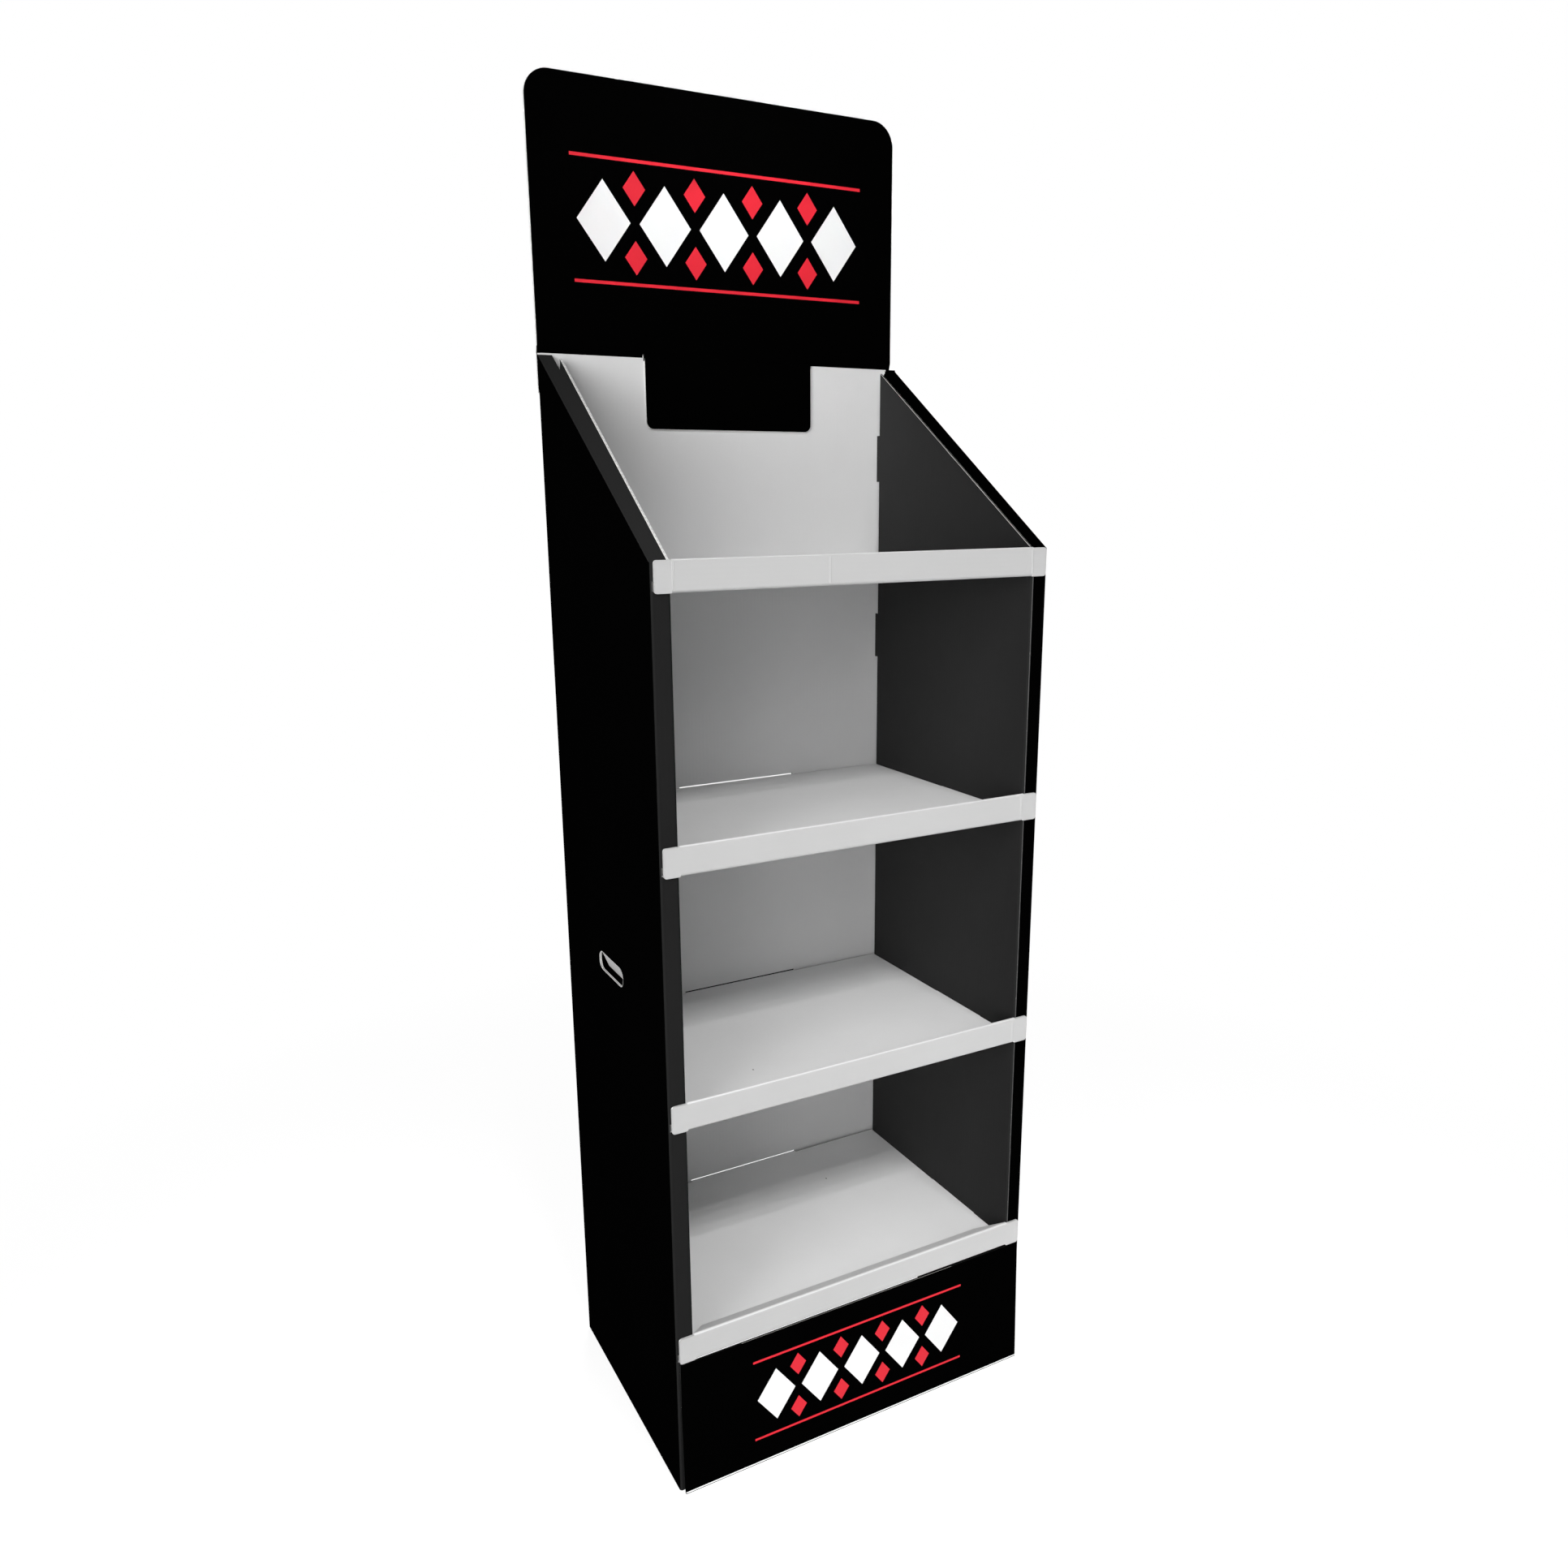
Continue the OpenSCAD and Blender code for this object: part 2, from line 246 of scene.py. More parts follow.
looks = {
    # Printed board, by place
    "print": paper("black_print", even(0.0008), 0.25, PRINT_ROUGH, 0.0, "X", PRINT_FLUTE),
    "rear": paper("rear_print", even(0.012), 0.3, (0.62, 0.8), 0.12, "X", 0.03),
    "grey": paper("dark_print", even(0.0148), 0.12, PRINT_ROUGH, 0.03, "X", PRINT_FLUTE),
    # Inner panels: their dark print, with painted light and shade fading along Y, darker at the front
    "panel": paper("inner_print_painted_light", even(0.0265), 0.12, PRINT_ROUGH, 0.03, "Y", PRINT_FLUTE, light_fade=("Y", 0.58, 1.45)),
    "slope": paper("slope_print", even(0.023), 0.12, PRINT_ROUGH, 0.03, "X", PRINT_FLUTE),
    "worn": paper("worn_fold", even(0.10), 0.3, (0.75, 0.9), 0.05, fleck=((0.30, 0.30, 0.29), 0.6)),
    # Hidden inner faces of the walls, slot ends, hand-hole insides and the plinth's top inside: painted shade
    "inside": paper("wall_inside_painted_shade", even(0.006), 0.2, RAW_ROUGH, 0.02),
    # White board, dirt on it, and painted light and shade on it
    "speck": paper("speck", (0.22, 0.21, 0.20), 0.3, RAW_ROUGH, 0.1),
    # White back: painted shade fading across X, darker at the left
    "back": paper("white_liner_back_painted_shade", even(0.88), 0.05, LINER_ROUGH, 0.25, "X", light_fade=("X", 0.91, 1.07)),
    "deck": paper("white_liner_deck", even(0.88), 0.05, LINER_ROUGH, 0.25, "Y"),
    # Lip faces: the decks' white liner painted in shade at a lower tone, with painted light and shade fading across X,
    # darker at the left
    "lip": paper("white_liner_lip_painted_shade", even(0.605), 0.04, LINER_ROUGH, 0.25, "Z", light_fade=("X", 0.90, 1.07)),
    # Top of the lips' roll: the white liner with a painted highlight, lighter than the lip
    "rim": paper("lip_rim_painted_highlight", even(0.78), 0.03, LINER_ROUGH, 0.25),
    # Hand flaps: white board painted in the shade of the hand holes
    "flap": paper("hand_flap", even(0.44), 0.04, LINER_ROUGH, 0.25, "Y"),
    # Raw edges, and painted shade in their open flutes, in folds and in gaps
    "edge": paper("raw_edge", (0.97, 0.97, 0.96), 0.08, RAW_ROUGH, 0.1),
    # Open flutes between a raw edge's liners: painted shade
    "hollow": paper("flute_hollow_painted_shade", (0.26, 0.25, 0.24), 0.4, SHADE_ROUGH, 0.05),
    "flute": paper("flute_shade", (0.55, 0.54, 0.53), 0.3, SHADE_ROUGH, 0.05),
    # Fold behind the decks and across the lower slot: painted shade, dark and soft
    "gap": paper("fold_gap_painted_shade", even(0.018), 0.3, SHADE_ROUGH, 0.05),
    "soft_gap": paper("fold_shade", even(0.32), 0.2, SHADE_ROUGH, 0.05),
    # Ink
    "red": paper("red_ink", (0.77, 0.017, 0.035), 0.05, INK_ROUGH, 0.3),
    "ink": paper("white_ink", even(0.96), 0.02, INK_ROUGH, 0.3),
}

# Painted shade on the fold behind each deck: its look in the slot, and beside the slot
FOLD_SHADES = {
    "shelf_bottom": ("gap", "gap"),
    "shelf_lower": ("gap", "soft_gap"),
    "shelf_upper": ("gap", "soft_gap"),
    "shelf_top": ("soft_gap", "soft_gap"),
}

# Limits on a part of a face's normal: square to an axis, facing along it, mostly along it, and none
SQUARE, FACING, MOSTLY, NONE = 0.99, 0.9, 0.5, 0.02
# Limits on how far round a fold a look reaches
GREY_REACH, WORN_REACH, REAR_REACH = 0.6, 0.45, 0.5
LIP_HIGHLIGHT_REACH, SHADE_REACH = 0.6, 0.1

# Centres of the body's upright folds
FOLDS = ((HALF_W - FOLD_OUT, PANEL_START), (INNER_X + FOLD_OUT, PANEL_START), (HALF_W - FOLD_OUT, Y_BACK - FOLD_OUT))


def dress(name, choose):
    """Gives each face of a CAD node one of the looks: choose(centre, normal) names it."""
    mesh = nodes[name].data
    mesh.materials.clear()
    order = []
    for face in mesh.polygons:
        look = choose(face.center, face.normal)
        if look not in order:
            order.append(look)
            mesh.materials.append(looks[look])
        face.material_index = order.index(look)


def near(a, b):
    return abs(a - b) < TINY


def flat_look(side, x, out, c, n):
    """Look of a face that lies in one of the body's upright sheets, or None."""
    upright = abs(n.z) < NONE
    if n.y > SQUARE and near(c.y, Y_BACK):
        return "rear"
    if n.y < -SQUARE and near(c.y, Y_INSIDE):
        return "back"
    if out > SQUARE and near(x, HALF_W):
        return "print" if side < 0 else "rear"
    if n.y < -SQUARE and near(c.y, Y_FRONT):
        return "grey" if side < 0 else "print"
    if out < -SQUARE and near(x, panel_x(c.y)):
        return "panel"
    # The walls' hidden inner faces are painted shade
    if upright and out > SQUARE and near(x, panel_x(c.y) + BOARD):
        return "inside"
    if upright and out < -SQUARE and near(x, HALF_W - BOARD):
        return "back" if side < 0 else "inside"
    if n.y > SQUARE and near(c.y, Y_FRONT + BOARD):
        return "back"
    return None


def fold_look(side, x, c, n):
    """Look of a face of one of the body's upright folds, or None."""
    if abs(n.z) >= NONE or abs(n.x) <= NONE or abs(n.y) <= NONE:
        return None
    for fold_x, fold_y in FOLDS:
        arm = Vector((x - fold_x, c.y - fold_y))
        if arm.length >= FOLD_OUT + TINY:
            continue
        if arm.length < 2 * FOLD_IN:
            return "back"
        to_rear = arm.y / arm.length
        if fold_y > Y_MID and (side > 0 or to_rear > REAR_REACH):
            return "rear"
        if fold_x > INNER_X + FOLD_OUT + TINY:
            return "grey" if side < 0 and -to_rear > GREY_REACH else "print"
        if side < 0:
            return "grey"
        return "worn" if -arm.x / arm.length < WORN_REACH else "panel"
    return None


def slope_look(side, x, c, n):
    """Look of a face of the slope flaps and of the inner panels' sloping edges, or None."""
    if near(n.z, math.cos(SLOPE)) and n.y < 0:
        if x < panel_x(c.y) + BOARD + CLEAR / 2:
            return "flute" if side < 0 else "print"
        return "slope" if side < 0 else "print"
    if near(n.z, -math.cos(SLOPE)) and n.y > 0:
        return "back"
    return None


def cut_look(side, x, out, c, n):
    """Look of the body's other faces: cut edges, slots and hand holes."""
    # The back's top edge: painted shade in its open flutes, under the raw-edge liners
    if n.z > SQUARE and near(c.z, BACK_H):
        return "hollow"
    # Ends of the back's slots: painted shade
    if abs(n.x) > SQUARE and Y_INSIDE < c.y < Y_BACK and x < SLOT_HALF + TINY:
        return "inside"
    # Hand holes: painted shade on their insides and in their cut faces' open flutes, and the white flap painted in
    # shade
    if abs(c.z - HAND_Z) < HAND_H and abs(c.y - Y_MID) < HAND_L and x > INNER_X + FOLD_OUT:
        if x > HALF_W - BOARD and abs(n.x) < NONE:
            return "hollow"
        return "flap" if out > MOSTLY else "inside"
    if c.z > FRONT_H - FOLD_OUT and c.y < Y_FRONT + 2 * FOLD_OUT:
        return "slope" if side < 0 else "print"
    return "edge"


def body_look(c, n):
    side = 1 if c.x > 0 else -1
    x = abs(c.x)
    out = n.x * side
    return (flat_look(side, x, out, c, n) or fold_look(side, x, c, n) or slope_look(side, x, c, n)
            or cut_look(side, x, out, c, n))


def shelf_look(z, slot_shade, side_shade):
    def choose(c, n):
        x = abs(c.x)
        # The fold behind the deck gets painted shade
        if c.y > Y_INSIDE - 2 * FOLD_OUT and n.y > SHADE_REACH and n.z > -MOSTLY:
            return slot_shade if x < SLOT_HALF else side_shade
        if abs(n.x) > MOSTLY:
            return "flute" if near(x, EAR_HALF) else "edge"
        if x > DECK_HALF and c.y < Y_FRONT + TINY and abs(n.y) < MOSTLY:
            return "flute"
        # The up-facing top of the lip's roll gets a painted highlight
        if c.z > z + LIP_H - BOARD and n.z > LIP_HIGHLIGHT_REACH:
            return "rim"
        if c.y < Y_FRONT + TINY:
            return "lip"
        return "deck"
    return choose


def plinth_look(c, n):
    if abs(n.y) > FACING:
        return "print" if n.y < 0 else "back"
    if abs(n.x) > FACING:
        return "grey" if c.z > PLINTH_TAB_Z else "print"
    # The plinth's top inside is painted shade
    return "inside" if n.z > FACING and c.z > PLINTH_H - BOARD else "edge"


def header_look(c, n):
    if abs(n.y) > FACING:
        return "print" if n.y < 0 else "back"
    # Header edges: painted shade in their open flutes, under the raw-edge liners
    return "hollow"


dress("body", body_look)
for shelf, shades in FOLD_SHADES.items():
    dress(shelf, shelf_look(LIP_ZS[shelf], *shades))
dress("plinth", plinth_look)
dress("header", header_look)


# Pieces

class Solids:
    """Collects closed solids for one piece."""

    def __init__(self):
        self.verts = []
        self.faces = []

    def prism(self, first, second):
        """A solid between two outlines of as many points."""
        base, count = len(self.verts), len(first)
        self.verts += first + second
        self.faces.append(tuple(base + k for k in range(count)))
        self.faces.append(tuple(base + count + k for k in reversed(range(count))))
        for k in range(count):
            after = (k + 1) % count
            self.faces.append((base + k, base + count + k, base + count + after, base + after))

    def add_piece(self, name, look, slot):
        mesh = bpy.data.meshes.new(name)
        mesh.from_pydata(self.verts, [], self.faces)
        mesh.validate()
        mesh.update()
        mesh.materials.append(looks[look])
        piece = bpy.data.objects.new(name, mesh)
        bpy.context.scene.collection.objects.link(piece)
        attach(piece, "root")


# Raw edges: the two liners of the board, with the wave of the medium between them

LINER = 0.0006
WIDE_LINER = 0.0013
MEDIUM = LINER * 0.8
EDGE_H = 0.0003
SWING = BOARD / 2 - LINER * 1.4
POINTS_PER_FLUTE = 8
ARC_STEPS, HEADER_STEPS = 6, 10
# Each liner is a side of the sheet and a width
BOTH_LINERS = ((-1, LINER), (1, LINER))
LEFT_SLOPE_LINERS = ((-1, WIDE_LINER), (1, LINER))
ONE_LINER = ((-1, LINER),)


def resample(points, closed):
    step = FLUTE_PITCH / POINTS_PER_FLUTE
    path = []
    ends = points + [points[0]] if closed else points
    for a, b in zip(ends, ends[1:]):
        pieces = max(1, round((b - a).length / step))
        path += [a.lerp(b, k / pieces) for k in range(pieces)]
    return path if closed else path + [points[-1]]


def arc(centre, u, v, r, start, stop, steps=ARC_STEPS):
    """Points of an arc in the plane of u and v; start and stop are in degrees."""
    return [centre + u * (r * math.cos(t)) + v * (r * math.sin(t))
            for t in (math.radians(start + (stop - start) * k / steps) for k in range(steps + 1))]


class Strips(Solids):
    """Closed bars that follow an edge: each ring is a rectangle, across the sheet by out of the edge."""

    def bar(self, points, outs, across, offsets, width, closed=False):
        base = len(self.verts)
        half = across * (width / 2)
        for p, out, offset in zip(points, outs, offsets):
            middle = p + across * offset
            low, high = middle - out * EDGE_H, middle + out * EDGE_H
            self.verts += [low - half, low + half, high + half, high - half]
        count = len(points)
        for i in range(count if closed else count - 1):
            a, b = base + 4 * i, base + 4 * ((i + 1) % count)
            for k in range(4):
                self.faces.append((a + k, b + k, b + (k + 1) % 4, a + (k + 1) % 4))
        if not closed:
            last = base + 4 * (count - 1)
            self.faces += [(base, base + 1, base + 2, base + 3), (last + 3, last + 2, last + 1, last)]

    def edge(self, points, across, grain, closed=False, inward=False, liners=BOTH_LINERS):
        """Liners and medium along a raw edge; grain is the direction in the sheet across its flutes."""
        path = resample(points, closed)
        outs = []
        for i, p in enumerate(path):
            before = path[i - 1] if closed or i else p
            after = path[(i + 1) % len(path)] if closed or i + 1 < len(path) else p
            out = across.cross(after - before).normalized()
            outs.append(-out if inward else out)
        for side, wide in liners:
            self.bar(path, outs, across, [side * (BOARD - wide) / 2] * len(path), wide, closed)
        if len(liners) > 1:
            waves = [SWING * math.sin(2 * math.pi * p.dot(grain) / FLUTE_PITCH) for p in path]
            self.bar(path, outs, across, waves, MEDIUM, closed)


def body_edges():
    strips = Strips()
    for side in (-1, 1):
        slope_ends = [Vector((side * (panel_x(y) + BOARD / 2), y, slope_z(y))) for y in (PANEL_START, PANEL_END)]
        strips.edge(slope_ends, X, Y, liners=LEFT_SLOPE_LINERS if side < 0 else ONE_LINER)
        rim = []
        for sy, sz, start in ((1, 1, 0), (-1, 1, 90), (-1, -1, 180), (1, -1, 270)):
            corner = Vector((side * (HALF_W - BOARD / 2), Y_MID + sy * (HAND_L / 2 - HAND_R),
                             HAND_Z + sz * (HAND_H / 2 - HAND_R)))
            rim += arc(corner, Y, Z, HAND_R, start, start + 90)
        strips.edge(rim, X, Y, closed=True)
    top_ends = [Vector((x, Y_BACK - BOARD / 2, BACK_H)) for x in (FOLD_OUT - HALF_W, HALF_W - FOLD_OUT)]
    strips.edge(top_ends, Y, X, inward=True)
    strips.add_piece("body_raw_edges", "edge", "black_board")


def ear_edges(shelf, z):
    strips = Strips()
    top = z + LIP_H - EAR_DROP
    y = Y_FRONT - BOARD / 2
    for side in (-1, 1):
        path = [Vector((side * (DECK_HALF + TINY), y, top))]
        path += arc(Vector((side * (EAR_HALF - EAR_R), y, top - EAR_R)), X * side, Z, EAR_R, 90, 0)
        path += arc(Vector((side * (EAR_HALF - EAR_R), y, z + EAR_R)), X * side, Z, EAR_R, 0, -90)
        path += [Vector((side * (DECK_HALF + TINY), y, z))]
        strips.edge(path, Y, Z, inward=side > 0)
    strips.add_piece(shelf + "_raw_edges", "lip", "white_board")


# Ends of the stretch where the plinth's rear liner shows
PLINTH_LINER = (-0.200, 0.165)


def plinth_edge():
    strips = Strips()
    ends = [Vector((x, Y_FRONT - BOARD / 2, PLINTH_H)) for x in PLINTH_LINER]
    # The plinth's rear liner is painted in shade
    strips.edge(ends, Y, X, inward=True, liners=ONE_LINER)
    strips.add_piece("plinth_raw_edges", "hollow", "printed_panel")


def header_edges():
    strips = Strips()
    y = Y_BACK - BOARD / 2
    path = [Vector((HEADER_LEFT, y, PANEL_Z))]
    low = HEADER_TOP - HEADER_R
    path += arc(Vector((HEADER_LEFT + HEADER_R, y, low)), X, Z, HEADER_R, 180, 90, HEADER_STEPS)
    path += arc(Vector((HEADER_RIGHT - HEADER_R, y, low)), X, Z, HEADER_R, 90, 0, HEADER_STEPS)
    path += [Vector((HEADER_RIGHT, y, PANEL_Z))]
    strips.edge(path, Y, X, inward=True)
    for left, right, length, front in (
            (-TONGUE_HALF, TONGUE_HALF, TONGUE_L, TONGUE_Y),
            (HEADER_LEFT, -TONGUE_HALF - SLIT_W, SHOULDER_L, SHOULDER_Y),
            (TONGUE_HALF + SLIT_W, HEADER_RIGHT, SHOULDER_L, SHOULDER_Y)):
        y, low = front + BOARD / 2, BACK_H - length
        path = [Vector((left, y, BACK_H))]
        path += arc(Vector((left + TONGUE_R, y, low + TONGUE_R)), X, Z, TONGUE_R, 180, 270)
        path += arc(Vector((right - TONGUE_R, y, low + TONGUE_R)), X, Z, TONGUE_R, 270, 360)
        path += [Vector((right, y, BACK_H))]
        strips.edge(path, Y, X)
    strips.add_piece("header_raw_edges", "edge", "printed_panel")


body_edges()
for shelf, lip_z in LIP_ZS.items():
    ear_edges(shelf, lip_z)
plinth_edge()
header_edges()


# Scored lines

SCORE_HALF, SCORE_RISE = 0.0008, 0.0003
SCORE_XS = {"shelf_top": (-0.271, -0.055, 0.271), "shelf_upper": (0.268,), "shelf_lower": (0.268,)}
CREASE_X, CREASE_ZS = 0.016, (1.412, 1.473)
CREASE_HALF, CREASE_RISE = 0.0009, 0.00018


class Scores(Solids):
    """Scored lines: two low ridges with a valley between, along a sheet's face."""
    BASE = 0.0001
    FOOT = 2.4

    def line(self, start, stop, out, half, rise):
        across = out.cross(stop - start).normalized()
        foot = self.FOOT * half
        profile = [(-foot, 0), (-half, rise), (0, 0), (half, rise), (foot, 0), (foot, -self.BASE), (-foot, -self.BASE)]
        self.prism(*([end + across * u + out * v for u, v in profile] for end in (start, stop)))


for shelf, xs in SCORE_XS.items():
    scores = Scores()
    low, high = LIP_ZS[shelf] + FOLD_OUT, LIP_ZS[shelf] + LIP_H - BOARD
    for x in xs:
        scores.line(Vector((x, Y_FRONT - BOARD, low)), Vector((x, Y_FRONT - BOARD, high)), -Y, SCORE_HALF, SCORE_RISE)
    scores.add_piece(shelf + "_scores", "lip", "white_board")
crease = Scores()
crease.line(*(Vector((CREASE_X, Y_INSIDE, z)) for z in CREASE_ZS), -Y, CREASE_HALF, CREASE_RISE)
crease.add_piece("back_crease", "back", "black_board")


# Thin plates on the sheets

class Plates(Solids):
    """Thin plates on the plane through origin along X and up."""
    THICK = 0.00012

    def __init__(self, origin, up):
        super().__init__()
        self.origin = origin
        self.up = up
        self.out = X.cross(up).normalized()

    def plate(self, outline):
        self.prism(*([self.origin + X * u + self.up * v + self.out * lift for u, v in outline]
                     for lift in (self.THICK, -self.THICK)))


def diamond(u, v, half_w, half_h):
    return [(u - half_w, v), (u, v - half_h), (u + half_w, v), (u, v + half_h)]


def rule(u, v, half_w, half_h):
    return [(u - half_w, v - half_h), (u + half_w, v - half_h), (u + half_w, v + half_h), (u - half_w, v + half_h)]


RIM_HALF = 0.0003


def slot_rims():
    """Worn rims round the slots beside the lips' ends."""
    rims = Plates(Vector((0, Y_FRONT, 0)), Z)
    half_u, half_v = (HALF_W - BOARD - EAR_HALF) / 2, DECK_RISE / 2 + CLEAR
    for z in LIP_ZS.values():
        for side in (-1, 1):
            u, v = side * (EAR_HALF + HALF_W - BOARD) / 2, z + EAR_R + DECK_RISE / 2
            for du in (-half_u - RIM_HALF, half_u + RIM_HALF):
                rims.plate(rule(u + du, v, RIM_HALF, half_v + 2 * RIM_HALF))
            for dv in (-half_v - RIM_HALF, half_v + RIM_HALF):
                rims.plate(rule(u, v + dv, half_u, RIM_HALF))
    rims.add_piece("ear_slot_rims", "worn", "black_board")


# Right slope flap's rear end: its outer edge, its front end in y, where the notch ends in y, and its inner rear corner
FLAP_END_X = 0.2998
FLAP_END_Y = 0.150
NOTCH_END_Y = 0.1885
FLAP_CORNER_X = 0.2815
# Band of the back's corner below that end: how far its middle lies under the top, and half its height
CORNER_DROP, CORNER_HALF_H = 0.0013, 0.0017


def right_flap_end():
    """The right slope flap's rear end, which lies over the notch and the corner of the back."""
    flap_end = Plates(Vector((0, Y_FRONT, FRONT_H)), Vector((0, math.cos(SLOPE), math.sin(SLOPE))))
    outline = [(FLAP_END_X, FLAP_END_Y), (FLAP_END_X, Y_INSIDE), (FLAP_CORNER_X, Y_INSIDE)]
    outline += [(panel_x(y) + BOARD + CLEAR, y) for y in (NOTCH_END_Y, FLAP_END_Y)]
    flap_end.plate([(x, (y - Y_FRONT) / math.cos(SLOPE)) for x, y in outline])
    flap_end.add_piece("right_flap_end", "print", "black_board")
    middle, half = (FLAP_CORNER_X + FLAP_END_X) / 2, (FLAP_END_X - FLAP_CORNER_X) / 2
    front = Plates(Vector((0, Y_INSIDE, 0)), Z)
    front.plate(rule(middle, BACK_H - CORNER_DROP, half, CORNER_HALF_H))
    front.add_piece("right_corner_front", "print", "black_board")
    top = Plates(Vector((0, Y_BACK - BOARD / 2, BACK_H + EDGE_H)), Y)
    top.plate(rule(middle, 0, half, BOARD / 2))
    top.add_piece("right_corner_top", "print", "black_board")


def lower_slot_shade():
    """A dark plate across the lower shelf's slot: painted shade, so no light shows through."""
    low, high = (LIP_ZS["shelf_lower"] + rise for rise in (DECK_RISE - BOARD / 2, SLOT_RISE))
    slot_shade = Plates(Vector((0, Y_INSIDE + 2 * LINER, 0)), Z)
    slot_shade.plate(rule(0, (low + high) / 2, SLOT_HALF, (high - low) / 2))
    slot_shade.add_piece("lower_slot_shade", "gap", "black_board")


# Length of the dark fill in the header's slits below the top of the back, and its share of a slit's width
SLIT_DROP = 0.004
SLIT_FILL = 0.8


def header_slits():
    slits = Solids()
    margin = SLIT_W * (1 - SLIT_FILL) / 2
    low, rear = BACK_H - SLIT_DROP, TONGUE_Y + BOARD
    profile = ((Y_INSIDE, PANEL_Z), (Y_BACK, PANEL_Z), (rear, BACK_H), (rear, low), (TONGUE_Y, low), (TONGUE_Y, BACK_H))
    for left in (-TONGUE_HALF - SLIT_W + margin, TONGUE_HALF + margin):
        slits.prism(*([Vector((x, y, z)) for y, z in profile] for x in (left, left + SLIT_W * SLIT_FILL)))
    slits.add_piece("header_slits", "print", "printed_panel")


# Specks of dirt on the decks: shelf, x and y
SPECKS = (("shelf_lower", -0.1279, -0.1034), ("shelf_bottom", 0.1077, 0.0923))
SPECK_HALF_W, SPECK_HALF_H, SPECK_LOBE = 0.0011, 0.0016, 0.0005


def add_speck(shelf, x, y):
    speck = Plates(Vector((x, y, LIP_ZS[shelf] + DECK_RISE)), Y)
    turns = [k * math.pi / 5 for k in range(10)]
    speck.plate([(SPECK_HALF_W * math.cos(t), SPECK_HALF_H * math.sin(t) + SPECK_LOBE * math.cos(3 * t))
                 for t in turns])
    speck.add_piece(shelf + "_speck", "speck", "white_board")


slot_rims()
right_flap_end()
lower_slot_shade()
header_slits()
for place in SPECKS:
    add_speck(*place)


# Print: a generic band of diamonds between rules, on the header and smaller on the plinth

# Sizes of the band at scale 1; each pair is half a width and half a height
DIAMOND_PITCH = 0.094
WHITE_DIAMOND = (0.040, 0.054)
RED_DIAMOND, RED_RISE = (0.017, 0.023), 0.046
BAND_RULE, RULE_RISE = (0.235, 0.0022), 0.082
# Heights of the bands' middles, the plinth's along its slant, and the plinth's scale
HEADER_BAND_Z = 1.766
PLINTH_BAND_RISE = 0.106
PLINTH_BAND_SIZE = 0.78
# White line along the plinth's foot: height of its middle, and half its height
MARGIN_RISE, MARGIN_HALF_H = 0.0022, 0.0011


def print_band(name, origin, up, size):
    white, red = Plates(origin, up), Plates(origin, up)

    def scaled(half_sizes):
        return [half * size for half in half_sizes]

    pitch = DIAMOND_PITCH * size
    for k in range(-2, 3):
        white.plate(diamond(k * pitch, 0, *scaled(WHITE_DIAMOND)))
    for k in (-1.5, -0.5, 0.5, 1.5):
        for v in (-RED_RISE, RED_RISE):
            red.plate(diamond(k * pitch, v * size, *scaled(RED_DIAMOND)))
    for v in (-RULE_RISE, RULE_RISE):
        red.plate(rule(0, v * size, *scaled(BAND_RULE)))
    white.add_piece(name + "_white", "ink", "printed_panel")
    red.add_piece(name + "_red", "red", "printed_panel")


print_band("header_print", Vector(((HEADER_LEFT + HEADER_RIGHT) / 2, Y_INSIDE, HEADER_BAND_Z)), Z, 1.0)
plinth_up = Vector((0, PLINTH_LEAN, PLINTH_H)).normalized()
plinth_foot = Vector((0, Y_FRONT - PLINTH_LEAN - BOARD, 0))
print_band("plinth_print", plinth_foot + plinth_up * PLINTH_BAND_RISE, plinth_up, PLINTH_BAND_SIZE)
margin = Plates(plinth_foot, plinth_up)
margin.plate(rule(0, MARGIN_RISE, PLINTH_HALF, MARGIN_HALF_H))
margin.add_piece("plinth_margin", "ink", "printed_panel")


# Stage, light and camera

FLOOR_HALF = 6.0
FLOOR_NEAR, FLOOR_FAR = 0.7, 1.8
FLOOR_TONE, FLOOR_SHADOW_TONE, FLOOR_GLOW = 0.82, 0.30, 0.84


def seen_directly(tree):
    """1 for rays from the camera, in gloss or through glass, and 0 for the others."""
    path = node(tree, "ShaderNodeLightPath")
    direct = math_node(tree, "MAXIMUM", path.outputs["Is Camera Ray"], path.outputs["Is Glossy Ray"])
    return math_node(tree, "MAXIMUM", direct, path.outputs["Is Transmission Ray"])


def mix_shaders(tree, factor, low, high):
    made = node(tree, "ShaderNodeMixShader")
    for socket, source in zip(made.inputs, (factor, low, high)):
        link(tree, source, socket)
    return made.outputs[0]


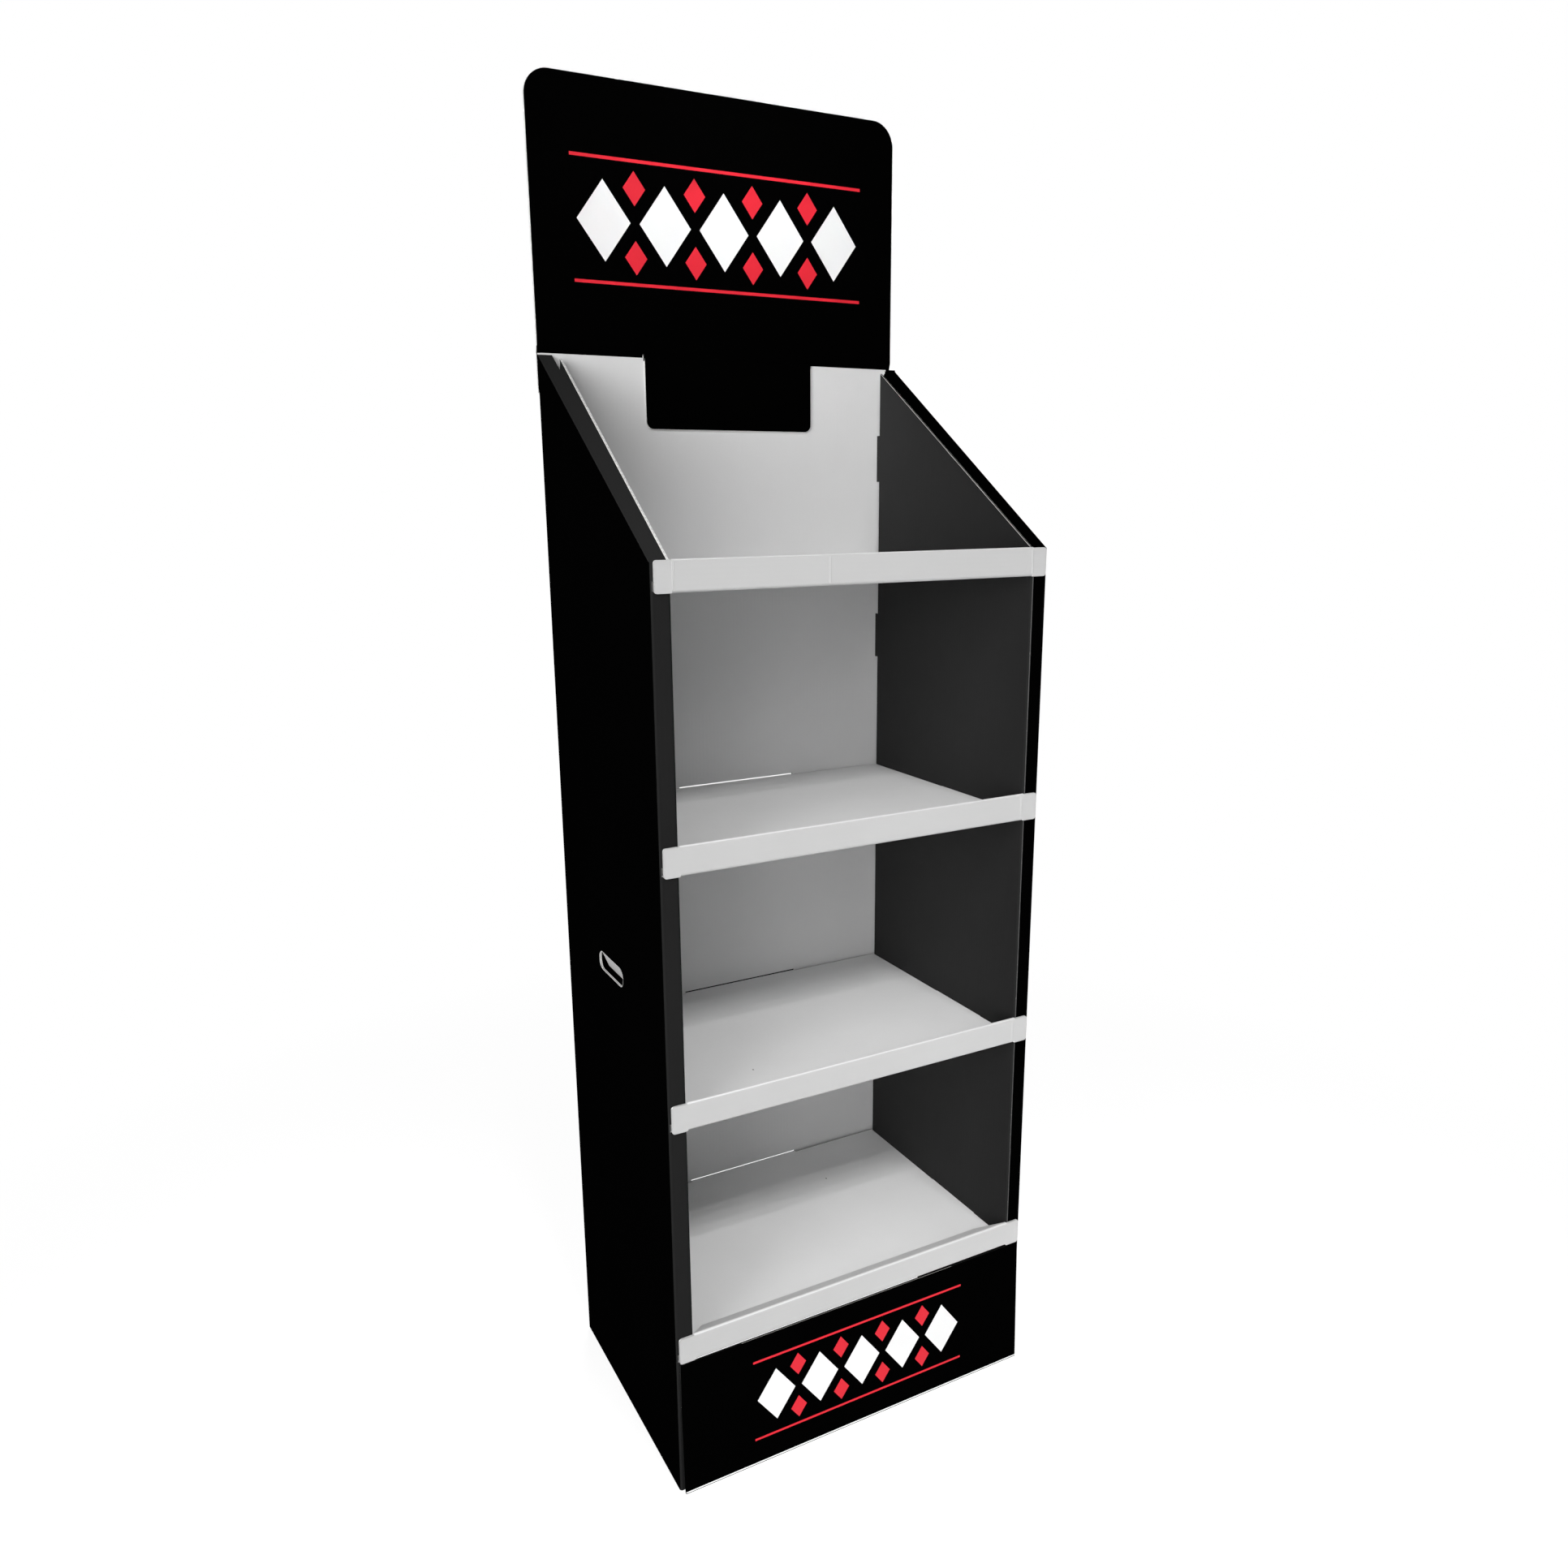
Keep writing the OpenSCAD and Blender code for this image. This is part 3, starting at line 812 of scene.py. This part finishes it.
def make_floor():
    """A pale floor that keeps the shadow near the stand and fades to white further off."""
    mesh = bpy.data.meshes.new("floor")
    corners = [(x * FLOOR_HALF, y * FLOOR_HALF, 0) for x, y in ((-1, -1), (1, -1), (1, 1), (-1, 1))]
    mesh.from_pydata(corners, [], [(0, 1, 2, 3)])
    floor = bpy.data.objects.new("floor", mesh)
    bpy.context.scene.collection.objects.link(floor)
    material = bpy.data.materials.new("pale_floor")
    material.use_nodes = True
    tree = material.node_tree
    tree.nodes.clear()
    reach = node(tree, "ShaderNodeVectorMath", operation="LENGTH")
    link(tree, node(tree, "ShaderNodeTexCoord").outputs["Object"], reach.inputs[0])
    far = ramp(tree, reach.outputs["Value"], FLOOR_NEAR, FLOOR_FAR)
    plain = node(tree, "ShaderNodeBsdfDiffuse", Color=(*even(FLOOR_TONE), 1))
    soft = node(tree, "ShaderNodeBsdfDiffuse", Color=(*even(FLOOR_SHADOW_TONE), 1))
    glow = node(tree, "ShaderNodeEmission", Strength=FLOOR_GLOW)
    near_floor = node(tree, "ShaderNodeAddShader")
    link(tree, soft.outputs[0], near_floor.inputs[0])
    link(tree, glow.outputs[0], near_floor.inputs[1])
    white = node(tree, "ShaderNodeEmission", Strength=1.0)
    shown = mix_shaders(tree, far, near_floor.outputs[0], white.outputs[0])
    both = mix_shaders(tree, seen_directly(tree), plain.outputs[0], shown)
    link(tree, both, node(tree, "ShaderNodeOutputMaterial").inputs["Surface"])
    mesh.materials.append(material)


def make_world(ambient):
    world = bpy.data.worlds.new("studio")
    bpy.context.scene.world = world
    world.use_nodes = True
    tree = world.node_tree
    background = tree.nodes["Background"]
    background.inputs["Color"].default_value = (1, 1, 1, 1)
    link(tree, ramp(tree, seen_directly(tree), 0.0, 1.0, ambient, 1.0), background.inputs["Strength"])


MIDDLE = Vector((0, 0, 0.9))
BOX_DISTANCE, BOX_SIZE, BOX_SPREAD = 4.0, (2.0, 2.0), 90.0
TUBE_YS, TUBE_Z, TUBE_SIZE = (-3.20, -2.98, -2.76, -2.55), 3.85, (1.4, 0.07)


def area_light(name, place, aim, size, power, spread=180.0):
    lamp = bpy.data.lights.new(name, "AREA")
    lamp.shape = "RECTANGLE"
    lamp.size, lamp.size_y = size
    lamp.energy = power
    lamp.spread = math.radians(spread)
    light = bpy.data.objects.new(name, lamp)
    light.location = place
    light.rotation_euler = (aim - place).to_track_quat("-Z", "Y").to_euler()
    bpy.context.scene.collection.objects.link(light)


def soft_box(name, azimuth, elevation, power):
    """A large soft lamp that faces the stand; azimuth 0 is in front of it and a negative one to its left."""
    turn, rise = math.radians(azimuth), math.radians(elevation)
    toward = Vector((math.cos(rise) * math.sin(turn), -math.cos(rise) * math.cos(turn), math.sin(rise)))
    area_light(name, MIDDLE + toward * BOX_DISTANCE, MIDDLE, BOX_SIZE, power, BOX_SPREAD)


def ceiling_tubes(power, spread, aim_z):
    """Four long tubes above and in front of the stand, which shade each deck in soft steps."""
    for k, y in enumerate(TUBE_YS):
        area_light(f"tube_{k}", Vector((0, y, TUBE_Z)), Vector((0, 0, aim_z)), TUBE_SIZE, power, spread)


# Camera fitted to the photo: its axes, its place, and its focal length in the photo's pixels
CAMERA_RIGHT = Vector((0.88264593, -0.46996611, -0.00824757))
CAMERA_DOWN = Vector((-0.11679248, -0.20228476, -0.97233759))
CAMERA_VIEW = Vector((0.45529736, 0.85919307, -0.23343432))
CAMERA_PLACE = Vector((-0.82472, -1.52159, 1.38070))
FOCAL_PX = 1461.53
PHOTO_PX = 1932
SENSOR_MM = 36.0


def make_camera():
    data = bpy.data.cameras.new("camera")
    data.sensor_width = SENSOR_MM
    data.lens = FOCAL_PX / PHOTO_PX * SENSOR_MM
    camera = bpy.data.objects.new("camera", data)
    turn = Matrix((CAMERA_RIGHT, -CAMERA_DOWN, -CAMERA_VIEW)).transposed().to_4x4()
    camera.matrix_world = Matrix.Translation(CAMERA_PLACE) @ turn
    bpy.context.scene.collection.objects.link(camera)
    bpy.context.scene.camera = camera


make_floor()
make_world(ambient=0.01)
ceiling_tubes(power=5.7, spread=70.0, aim_z=-2.95)
area_light("left_lamp", Vector((-1.6, -1.0, 2.2)), MIDDLE, size=(0.8, 0.8), power=9.3)
area_light("header_lamp", Vector((-0.6, -2.6, 2.5)), Vector((0.03, 0.2, 1.96)), size=(0.2, 0.2), power=0.50,
           spread=16.5)
soft_box("side_box", azimuth=-65, elevation=5, power=20.4)
soft_box("left_box", azimuth=-50, elevation=5, power=9.8)
soft_box("front_box", azimuth=-25, elevation=20, power=4.6)
soft_box("rear_box", azimuth=150, elevation=30, power=21.5)
make_camera()
bpy.context.scene.view_settings.view_transform = "Standard"
